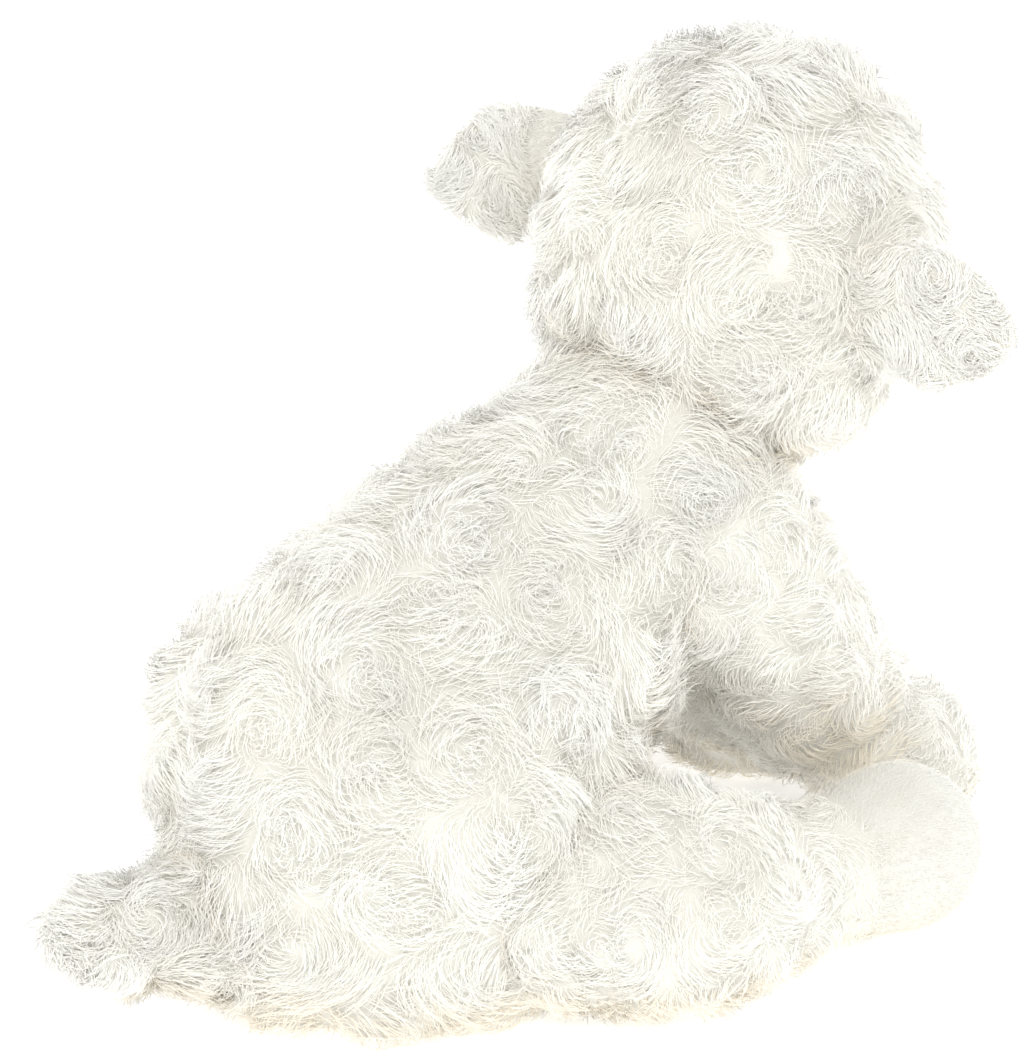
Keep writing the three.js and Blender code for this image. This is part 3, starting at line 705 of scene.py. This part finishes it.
# Hind legs: a stuffed tube of the curly plush, wide at the thigh and drawn in at the ankle, sewn
# on at the hip. The pile gets shorter along it, and from the ankle on the foot is smooth plush.
SIDES = (("left", 1), ("right", -1))
THIGH_PILE = 0.0095
ANKLE_PILE = 0.0034
FOOT_PILE = 0.0024
ANKLE = -0.018
# Painted shade: the short pile's root colour is darker than its tip, for the shade deep in the pile.
short_pile = pile_material("short_pile", (0.79, 0.78, 0.74), (0.84, 0.835, 0.80), (0.97, 0.96, 0.93))
# Painted shade: the backing is set well below the short pile's colour, for the shade between its fibres.
short_backing_painted_shade = backing_material("short_backing_painted_shade", (0.69, 0.68, 0.63), (0.65, 0.635, 0.58))


def smooth_pile(name, skin, hang, count, length, keep, seed, comb_to):
    """Short pile all brushed one way."""
    at, normal = scatter(skin, int(count * DENSITY), seed)
    kept = keep(at, normal)
    at, normal = at[kept], normal[kept]
    rng = np.random.default_rng(seed + 1)
    way = np.array(comb_to, float) + rng.normal(0, 0.35, (len(at), 3))
    way -= np.sum(way * normal, axis=1, keepdims=True) * normal
    way = unit(way)
    reach = length * rng.uniform(0.7, 1.2, len(at))[:, None]
    first = at - 0.0003 * normal
    second = first + reach * (0.45 * unit(way + normal))
    third = second + reach * 0.55 * unit(way + 0.25 * normal)
    path = np.stack([first, second, third], axis=1)
    # Painted shade: the tone is pulled down towards the warm nook colour where the pile faces another
    # piece or the floor close by.
    tone = rng.uniform(0.4, 1, len(at)) * (1 - NOOK_PAINTED_SHADE * nook_for_painted_shade(at, normal))
    wide = FIBRE_WIDTH * rng.uniform(0.8, 1.2, len(at))
    piece = strands(name, path, normal, tone, wide, (1.0, 0.8))
    piece.data.materials.append(short_pile)
    hang(piece)


for label, side in SIDES:
    balls = hind_leg_balls(side)
    slack = np.linspace(0.0035, 0.0010, len(balls))
    under_pile = balls - slack[:, None] * (0, 0, 0, 1)
    leg = stuffed(f"hind_leg_{label}", under_pile, 0.004, 6)
    plump(leg, 0.002)
    fillet(leg, balls, [BODY_BALLS], HIP_CREASE)
    leg_curls = curls_on(leg, 0.024, 21 + side)
    leg.data.materials.append(curly_backing_painted_shade)
    leg.data.materials.append(short_backing_painted_shade)
    swing = dict(start=(side * 0.045, 0.037, 0.036), end=(side * 0.064, 0.004, 0.033))
    limb = f"hind_leg_{label}"
    foot = np.array([side * 0.082, -0.069, 0.025])
    ahead = unit(foot - (side * 0.074, -0.037, 0.023))

    def to_foot(at, foot=foot, ahead=ahead):
        return (at - foot) @ ahead

    raise_mounds(leg, leg_curls, 0.0025, lambda points: np.clip(-(to_foot(points) + 0.016) / 0.012, 0, 1))
    for face in leg.data.polygons:
        face.material_index = int(to_foot(np.array(face.center)) > ANKLE)

    def hang(piece, limb=limb, swing=swing):
        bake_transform(piece)

    def leg_length(at, normal, to_foot=to_foot):
        share = np.clip((to_foot(at) + 0.066) / 0.050, 0, 1)
        return THIGH_PILE + (ANKLE_PILE - THIGH_PILE) * share**1.3

    def keep_leg(at, normal, to_foot=to_foot):
        ragged = 0.002 + 0.004 * np.sin(at[:, 2] * 400)
        return clear_of(BODY_BALLS)(at, normal) & (to_foot(at) < ANKLE + ragged)

    def keep_sole(at, normal, to_foot=to_foot):
        return (to_foot(at) > ANKLE - 0.002) & (at[:, 2] > PILE_LOWEST)

    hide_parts(f"hind_leg_{label}_cover", f"hind_leg_{label}_stuffing", f"hind_leg_{label}_sole")
    hang(leg)
    cover_with_curls(
        f"hind_leg_{label}_curls", leg, hang, leg_curls, 17000, leg_length, keep_leg, 201 + side,
    )
    smooth_pile(
        f"hind_leg_{label}_sole_pile", leg, hang, 26000, FOOT_PILE, keep_sole, 231 + side, (0, -1, -0.4),
    )

# Front legs: narrower stuffed tubes of the same plush, sewn on at the shoulder, fullest at the elbow
# and standing on rounded paws. The left paw is set a little inwards.
FRONT_PILE = 0.0082
for label, side in SIDES:
    balls = front_leg_balls(side)
    fuller = np.linspace(0.004, 0, len(balls) // 2)
    balls[: len(fuller), 3] += fuller
    elbow = np.exp(-(((balls[:, 2] - 0.056) / 0.022) ** 2))[:, None]
    balls += elbow * (0, 0.0035, -0.001, 0.0035)
    if label == "left":
        balls[-6:] += np.linspace(0, 1, 6)[:, None] * (-0.007, 0.005, 0.0005, 0.002)
    leg = stuffed(f"front_leg_{label}", balls, 0.004, 6)
    plump(leg, 0.002)
    fillet(leg, balls, [BODY_BALLS], 0.020)
    leg_curls = curls_on(leg, 0.022, 31 + side)
    raise_mounds(leg, leg_curls, 0.0025)
    leg.data.materials.append(curly_backing_painted_shade)
    limb = f"front_leg_{label}"

    def hang(piece, limb=limb, side=side):
        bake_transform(piece)

    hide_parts(f"front_leg_{label}_cover", f"front_leg_{label}_stuffing")
    hang(leg)
    cover_with_curls(
        f"front_leg_{label}_curls", leg, hang, leg_curls, 15000, even(FRONT_PILE),
        clear_of(BODY_BALLS), 301 + side,
    )

# Tail: a short stuffed sleeve of the plush, sewn on low behind, with its pile left long at the tip.
tail_reach = np.linspace(0, 1, len(TAIL_BALLS)) ** 0.7
tail = stuffed("tail", TAIL_BALLS + tail_reach[:, None] * (0, 0, 0.006, -0.004), 0.0035, 5)
plump(tail, 0.0015)
fillet(tail, TAIL_BALLS, [BODY_BALLS], 0.014)
tail_curls = curls_on(tail, 0.019, 41)
raise_mounds(tail, tail_curls, 0.0022)
tail.data.materials.append(curly_backing_painted_shade)


def hang_tail(piece):
    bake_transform(piece)


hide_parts("tail_cover", "tail_stuffing")
hang_tail(tail)


def tail_length(at, normal):
    return 0.0095 + 0.002 * np.clip((at[:, 1] - 0.135) / 0.03, 0, 1)


cover_with_curls(
    "tail_curls", tail, hang_tail, tail_curls, 9500, tail_length, clear_of(BODY_BALLS), 401,
    slope=(48, 10), comb_to=(0.3, 2.0, 0),
)

# Head: a round stuffed head of the curly plush with a tuft left long on the crown. The face and
# muzzle are a separate panel of smooth short pile, let in along a seam round the cheeks.
NAPE_BALLS = np.array([(*on_head(-0.004, side * 0.005, -0.012), 0.0495) for side in (1, -1)])
HEAD_SKIN = np.vstack(
    [
        drawn_in(CRANIUM_BALLS, 0.0036),
        NAPE_BALLS,
        drawn_in(MUZZLE_BALLS, 0.0005),
        drawn_in(JAW_BALLS, -0.001),
    ]
)
head = stuffed("head", HEAD_SKIN, 0.0045, 10)
plump(head, 0.0025)
FACE_PITCH = math.radians(25)
FACE_SEAM = 0.030
FACE_LAP = 0.001
FACE_PILE = 0.0028
CROWN_PILE = 0.0108
TUFT_PILE = 0.0022


def head_direction(pitch, azimuth=0.0):
    flat = math.cos(pitch)
    spot = on_head(flat * math.cos(azimuth), flat * math.sin(azimuth), -math.sin(pitch))
    return unit(spot - HEAD_MIDDLE)


face_way = head_direction(FACE_PITCH)


def before_face(at):
    """How far a point is in front of the seam of the face."""
    return (at - HEAD_MIDDLE) @ face_way - FACE_SEAM


head_rays = curl_rows_over_end(HEAD_MIDDLE, -face_way, 0.058, math.radians(150))
head_curls = curls_at(head, HEAD_BALLS, head_rays, 51)
points, normals = points_of(head), normals_of(head)
behind = np.clip(-before_face(points) / 0.008, 0, 1)
points += normals * (mound(points, normals, head_curls, CURL_MOUND) * behind)[:, None]
points -= normals * (0.0012 * np.exp(-((before_face(points) / 0.002) ** 2)))[:, None]
move_points(head, points)
head.data.materials.append(curly_backing_painted_shade)
head.data.materials.append(short_backing_painted_shade)
for face in head.data.polygons:
    face.material_index = int(before_face(np.array(face.center)[None])[0] > 0)
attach(head, "head")
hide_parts("head_cover", "head_stuffing", "face_panel")


def crown_length(at, normal):
    top = np.clip((at[:, 2] - 0.205) / 0.03, 0, 1)
    seam = np.clip(-before_face(at) / 0.012, 0, 1)
    return (CROWN_PILE + TUFT_PILE * top) * (0.55 + 0.45 * seam)


def keep_head(at, normal):
    return (before_face(at) < 0) & (outside(at, TRUNK_BALLS) > PRESSED)


EYE_WAYS = {side: head_direction(0, side * math.radians(25)) for side in (1, -1)}
NOSE_ROOT = on_head(0.056, 0, -0.037)
NOSE_WAY = head_direction(math.radians(4))
ACROSS_FACE = unit(on_head(0, 1, 0) - HEAD_MIDDLE)
UP_FACE = unit(np.cross(NOSE_WAY, ACROSS_FACE))
NOSE_WIDTH = 0.017
NOSE_HEIGHT = 0.012
EYE_CLEAR = 0.0068
MOUTH_CLEAR = 0.0011
MOUTH = [(0, -0.5 * NOSE_HEIGHT - 0.0012 * k) for k in range(6)]
MOUTH_SIDE = [
    (0.0085 * k / 6, MOUTH[-1][1] - 0.004 * math.sin(math.pi / 2 * k / 6) ** 2) for k in range(7)
]


def keep_face(at, normal):
    """Pile grows all over the face but under the eyes, the nose and the mouth."""
    kept = (before_face(at) > -FACE_LAP) & (outside(at, TRUNK_BALLS) > PRESSED)
    for way in EYE_WAYS.values():
        kept &= np.linalg.norm(at - HEAD_MIDDLE - 0.058 * way, axis=1) > EYE_CLEAR
    from_root = at - NOSE_ROOT
    in_front = from_root @ NOSE_WAY > 0
    flat = np.stack([np.abs(from_root @ ACROSS_FACE), from_root @ UP_FACE], axis=1)
    on_nose = (flat[:, 0] / (0.5 * NOSE_WIDTH)) ** 2 + (flat[:, 1] / (0.5 * NOSE_HEIGHT)) ** 2 < 1.05
    for spot in MOUTH + MOUTH_SIDE:
        on_nose |= np.linalg.norm(flat - spot, axis=1) < MOUTH_CLEAR
    return kept & ~(in_front & on_nose)


def hang_head(piece):
    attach(piece, "head")


cover_with_curls(
    "head_curls", head, hang_head, head_curls, 30000, crown_length, keep_head, 501,
)
smooth_pile("face_pile", head, hang_head, 40000, FACE_PILE, keep_face, 531, (0, 1, 0.1))

# Ears: each is a leaf of curly plush backed by a leaf of smooth plush, sewn round the edge, turned,
# and gathered where it goes into the side seam of the head. The left one is bare in its fold.
EAR_LENGTH = 0.052
EAR_WIDTH = 0.038
EAR_THICK = 0.009
EAR_ROOT = 0.0135
EAR_PILE = 0.0075
LINING_PILE = 0.0022
for label, side, droop, forward, fold in (("left", 1, 19, -26, 0.016), ("right", -1, -6, 12, 0.0)):
    along = head_direction(math.radians(droop), side * math.radians(90 - forward))
    back = head_direction(0, math.pi)
    normal = unit(back - (back @ along) * along)
    across = np.cross(normal, along)
    root = on_head(-0.011, side * 0.052, 0.005)
    ear = add_ball(1, (0, 0, 0), 48)
    ear.name = f"ear_{label}"
    leaf = points_of(ear)
    lengthways = 0.5 * (leaf[:, 0] + 1)
    middle = (EAR_LENGTH - EAR_ROOT) / 2
    reach = (EAR_LENGTH + EAR_ROOT) / 2
    broad = 0.5 * EAR_WIDTH * (0.72 + 0.28 * np.sin(math.pi * np.clip(lengthways, 0, 1) ** 1.5))
    shaped = np.stack(
        [middle + reach * leaf[:, 0], broad * leaf[:, 1] * 1.04, 0.5 * EAR_THICK * leaf[:, 2]], axis=1
    )
    shaped[:, 2] += -0.0022 * (leaf[:, 1] ** 2) * lengthways + 0.001
    placed = root + shaped[:, :1] * along + shaped[:, 1:2] * across + shaped[:, 2:] * normal
    move_points(ear, placed)
    ear_curls = curls_on(ear, 0.020, 61 + side)
    finish_with(ear, "SUBSURF", levels=1, render_levels=1)
    ear.data.materials.append(curly_backing_painted_shade)
    ear.data.materials.append(short_backing_painted_shade)

    def out_along(at, root=root, along=along):
        return (at - root) @ along

    for face in ear.data.polygons:
        face.material_index = int(np.array(face.normal) @ normal < -0.2)

    def hang(piece, label=label):
        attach(piece, f"ear_{label}")

    def keep_back(at, facing, normal=normal, out_along=out_along, fold=fold):
        return (facing @ normal > -0.35) & (outside(at, HEAD_BALLS) > 0) & (out_along(at) > fold)

    def keep_lining(at, facing, normal=normal, out_along=out_along, fold=fold):
        return ((facing @ normal < -0.3) | (out_along(at) < fold)) & (outside(at, HEAD_BALLS) > 0)

    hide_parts(f"ear_back_{label}", f"ear_lining_{label}")
    hang(ear)
    cover_with_curls(
        f"ear_{label}_curls", ear, hang, ear_curls, 9000, even(EAR_PILE), keep_back, 601 + side,
        comb_to=tuple(2.0 * along + (0, 0, -0.6)),
    )
    smooth_pile(
        f"ear_{label}_lining_pile", ear, hang, 9000, LINING_PILE, keep_lining, 631 + side, tuple(along),
    )

# Eyes: each is a black plastic button on a shank that goes through the face and is held behind
# by a locking washer. A narrow rim stands round the dome.
EYE_RADIUS = 0.0065
EYE_DOME = 0.0048
EYE_BACK = -0.0030
EYE_SEAT = 0.0562


def mottled(name, scale, detail, deep, pale):
    """A material whose colour wanders between two tones, and its surface shader."""
    material = bpy.data.materials.new(name)
    material.use_nodes = True
    tree = material.node_tree
    surface = tree.nodes["Principled BSDF"]
    where = tree.nodes.new("ShaderNodeTexCoord")
    noise = node(tree, "ShaderNodeTexNoise", Scale=scale, Detail=detail)
    tint = tree.nodes.new("ShaderNodeValToRGB")
    tint.color_ramp.elements[0].color = (*deep, 1)
    tint.color_ramp.elements[1].color = (*pale, 1)
    tree.links.new(where.outputs["Object"], noise.inputs["Vector"])
    tree.links.new(noise.outputs["Fac"], tint.inputs["Fac"])
    tree.links.new(tint.outputs["Color"], surface.inputs["Base Color"])
    return material, surface


eye_plastic, gloss = mottled("eye_plastic", 300.0, 2.0, (0.004, 0.003, 0.003), (0.012, 0.008, 0.006))
gloss.inputs["Roughness"].default_value = 0.08
gloss.inputs["Coat Weight"].default_value = 0.6
gloss.inputs["Coat Roughness"].default_value = 0.03
washer_plastic = bpy.data.materials.new("washer_plastic")
washer_plastic.use_nodes = True
moulded = washer_plastic.node_tree.nodes["Principled BSDF"]
moulded.inputs["Base Color"].default_value = (0.80, 0.79, 0.75, 1)
moulded.inputs["Roughness"].default_value = 0.4

for label, side in SIDES:
    way = EYE_WAYS[side]
    seat = HEAD_MIDDLE + way * EYE_SEAT
    eye = add_ball(1, (0, 0, 0), 48)
    eye.name = f"eye_button_{label}"
    dome = points_of(eye)
    wide = EYE_RADIUS * np.where(dome[:, 2] < 0.10, 1.0, 0.94)
    dome *= np.stack([wide, wide, np.full(len(dome), EYE_DOME)], axis=1)
    dome[:, 2] = np.maximum(dome[:, 2], EYE_BACK)
    turn = Vector((0, 0, 1)).rotation_difference(Vector(way)).to_matrix()
    move_points(eye, dome @ np.array(turn).T + seat)
    bpy.ops.object.shade_smooth()
    eye.data.materials.append(eye_plastic)
    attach(eye, "head")
    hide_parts(f"eye_{label}")

for label, side in SIDES:
    low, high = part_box(f"eye_washer_{label}")
    middle = 0.5 * (np.array(low) + np.array(high))
    bpy.ops.object.select_all(action="DESELECT")
    bpy.ops.mesh.primitive_cylinder_add(vertices=48, radius=0.0078, depth=0.0014, location=(0, 0, 0))
    washer = bpy.context.object
    washer.name = f"eye_lock_{label}"
    finish_with(washer, "BEVEL", width=0.0004, segments=3)
    turn = Vector((0, 0, 1)).rotation_difference(Vector(EYE_WAYS[side])).to_matrix()
    move_points(washer, points_of(washer) @ np.array(turn).T + middle)
    washer.data.materials.append(washer_plastic)
    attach(washer, "head")
    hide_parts(f"eye_washer_{label}")

# Nose and mouth: satin stitches in one thread, the nose a filled wedge and the mouth a line down
# from it that parts to each side.
NOSE_LINES = 19
NOSE_KNOTS = 9
NOSE_THREAD = 0.00062
MOUTH_THREAD = 0.0006
MOUTH_LIFT = 0.0003
thread, satin = mottled("nose_thread", 700.0, 3.0, (0.30, 0.17, 0.14), (0.45, 0.28, 0.24))
satin.inputs["Roughness"].default_value = 0.45
satin.inputs["Sheen Weight"].default_value = 0.3
face_surface = BVHTree.FromPolygons(
    [tuple(point.co) for point in head.data.vertices],
    [tuple(face.vertices) for face in head.data.polygons],
)


def on_muzzle(across, up, lift):
    """A spot on the muzzle, looked at from in front of the nose."""
    start = NOSE_ROOT + 0.05 * NOSE_WAY + across * ACROSS_FACE + up * UP_FACE
    place, normal, _, _ = face_surface.ray_cast(Vector(start), -Vector(NOSE_WAY))
    return place + lift * normal


def thread_laid(name, lines, thick):
    """Lengths of thread, each drawn into the cloth at both ends."""
    bpy.ops.object.select_all(action="DESELECT")
    bpy.ops.curve.primitive_bezier_curve_add(location=(0, 0, 0))
    piece = bpy.context.object
    piece.name = name
    piece.data.splines.clear()
    piece.data.bevel_depth = thick
    piece.data.bevel_resolution = 2
    piece.data.use_fill_caps = True
    for line in lines:
        spline = piece.data.splines.new("POLY")
        spline.points.add(len(line) - 1)
        for knot, at in zip(spline.points, line):
            knot.co = (*at, 1)
    bpy.ops.object.convert(target="MESH")
    bpy.ops.object.shade_smooth()
    piece.data.materials.append(thread)
    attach(piece, "head")
    return piece


stitches = []
for k in range(NOSE_LINES):
    share = 2 * k / (NOSE_LINES - 1) - 1
    top = 0.5 * NOSE_HEIGHT * (1 - 0.35 * abs(share) ** 3)
    foot = -0.5 * NOSE_HEIGHT * (1 - abs(share) ** 1.5) - 0.0004
    stitch = []
    for step in range(NOSE_KNOTS):
        climb = step / (NOSE_KNOTS - 1)
        swell = 1 - abs(2 * climb - 1) ** 3
        across = 0.46 * NOSE_WIDTH * share * (0.75 + 0.25 * climb)
        lift = -0.0006 + (0.0018 + 0.0004 * (k % 2) - 0.0008 * share**2) * swell
        stitch.append(on_muzzle(across, foot + (top - foot) * climb, lift))
    stitches.append(stitch)
nose = thread_laid("nose_stitches", stitches, NOSE_THREAD)
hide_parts("nose")
mouth_lines = [[on_muzzle(0, up, MOUTH_LIFT) for _, up in MOUTH]]
for side in (1, -1):
    mouth_lines.append([on_muzzle(side * across, up, MOUTH_LIFT) for across, up in MOUTH_SIDE])
thread_laid("mouth_stitches", mouth_lines, MOUTH_THREAD)

# Floor and backdrop: a plain pale studio sweep that shows white and keeps the lamb's shadow.
bpy.ops.object.select_all(action="DESELECT")
bpy.ops.mesh.primitive_plane_add(size=12, location=(0, 0, -0.0004))
floor = bpy.context.object
floor.name = "floor"
floor_paint = bpy.data.materials.new("floor_paint")
floor_paint.use_nodes = True
tree = floor_paint.node_tree
paint = tree.nodes["Principled BSDF"]
paint.inputs["Base Color"].default_value = (0.86, 0.86, 0.86, 1)
paint.inputs["Roughness"].default_value = 0.9
paint.inputs["Specular IOR Level"].default_value = 0.0
rays = tree.nodes.new("ShaderNodeLightPath")
# The floor also glows: a little for the camera, which whitens it, and more for all other rays, so that it
# lights the lamb from below like a light box.
glow = node(tree, "ShaderNodeEmission", Strength=0.4)
cast = node(tree, "ShaderNodeEmission", Strength=0.75)
seen = tree.nodes.new("ShaderNodeMixShader")
both = tree.nodes.new("ShaderNodeAddShader")
tree.links.new(rays.outputs["Is Camera Ray"], seen.inputs["Fac"])
tree.links.new(cast.outputs["Emission"], seen.inputs[1])
tree.links.new(glow.outputs["Emission"], seen.inputs[2])
tree.links.new(paint.outputs["BSDF"], both.inputs[0])
tree.links.new(seen.outputs["Shader"], both.inputs[1])
tree.links.new(both.outputs["Shader"], tree.nodes["Material Output"].inputs["Surface"])
floor.data.materials.append(floor_paint)

world = bpy.data.worlds.new("studio")
bpy.context.scene.world = world
world.use_nodes = True
tree = world.node_tree
light = tree.nodes["Background"]
light.inputs["Color"].default_value = (1, 1, 1, 1)
light.inputs["Strength"].default_value = 0.97
white = node(tree, "ShaderNodeBackground", Color=(1, 1, 1, 1), Strength=1.0)
rays = tree.nodes.new("ShaderNodeLightPath")
either = tree.nodes.new("ShaderNodeMath")
either.operation = "MAXIMUM"
any_of = tree.nodes.new("ShaderNodeMath")
any_of.operation = "MAXIMUM"
choose = tree.nodes.new("ShaderNodeMixShader")
tree.links.new(rays.outputs["Is Camera Ray"], either.inputs[0])
tree.links.new(rays.outputs["Is Glossy Ray"], either.inputs[1])
tree.links.new(either.outputs["Value"], any_of.inputs[0])
tree.links.new(rays.outputs["Is Transmission Ray"], any_of.inputs[1])
tree.links.new(any_of.outputs["Value"], choose.inputs["Fac"])
tree.links.new(light.outputs["Background"], choose.inputs[1])
tree.links.new(white.outputs["Background"], choose.inputs[2])
tree.links.new(choose.outputs["Shader"], tree.nodes["World Output"].inputs["Surface"])

# Camera and lamps: the camera stands behind the lamb's right side and a little above it. One soft
# lamp lights it from over the camera, and a weaker one from each side.
CAMERA_AZIMUTH = math.radians(228)
CAMERA_ELEVATION = math.radians(23)
CAMERA_LENS = 145
CAMERA_DISTANCE = 1.2
away = Vector(
    (
        math.sin(CAMERA_AZIMUTH) * math.cos(CAMERA_ELEVATION),
        -math.cos(CAMERA_AZIMUTH) * math.cos(CAMERA_ELEVATION),
        math.sin(CAMERA_ELEVATION),
    )
)
rightwards = Vector((0, 0, 1)).cross(away).normalized()
upwards = away.cross(rightwards)
aim = Vector((0, 0.047, 0)) + 0.0328 * rightwards + 0.1179 * upwards
eye_of_camera = bpy.data.cameras.new("camera")
eye_of_camera.lens = CAMERA_LENS
camera = bpy.data.objects.new("camera", eye_of_camera)
camera.location = aim + CAMERA_DISTANCE * away
camera.rotation_euler = away.to_track_quat("Z", "Y").to_euler()
bpy.context.scene.collection.objects.link(camera)
bpy.context.scene.camera = camera


def softbox(name, place, size, power):
    data = bpy.data.lights.new(name, "AREA")
    data.shape = "DISK"
    data.size = size
    data.energy = power
    lamp = bpy.data.objects.new(name, data)
    lamp.location = aim + place
    lamp.rotation_euler = place.to_track_quat("Z", "Y").to_euler()
    bpy.context.scene.collection.objects.link(lamp)


softbox("front", 1.25 * away + 0.35 * upwards, 0.6, 7.9)
softbox("right", 1.1 * rightwards + 0.5 * upwards - 0.5 * away, 0.8, 5)
softbox("left", -1.1 * rightwards + 0.5 * upwards - 0.3 * away, 0.8, 3)

bpy.context.scene.view_settings.view_transform = "Standard"
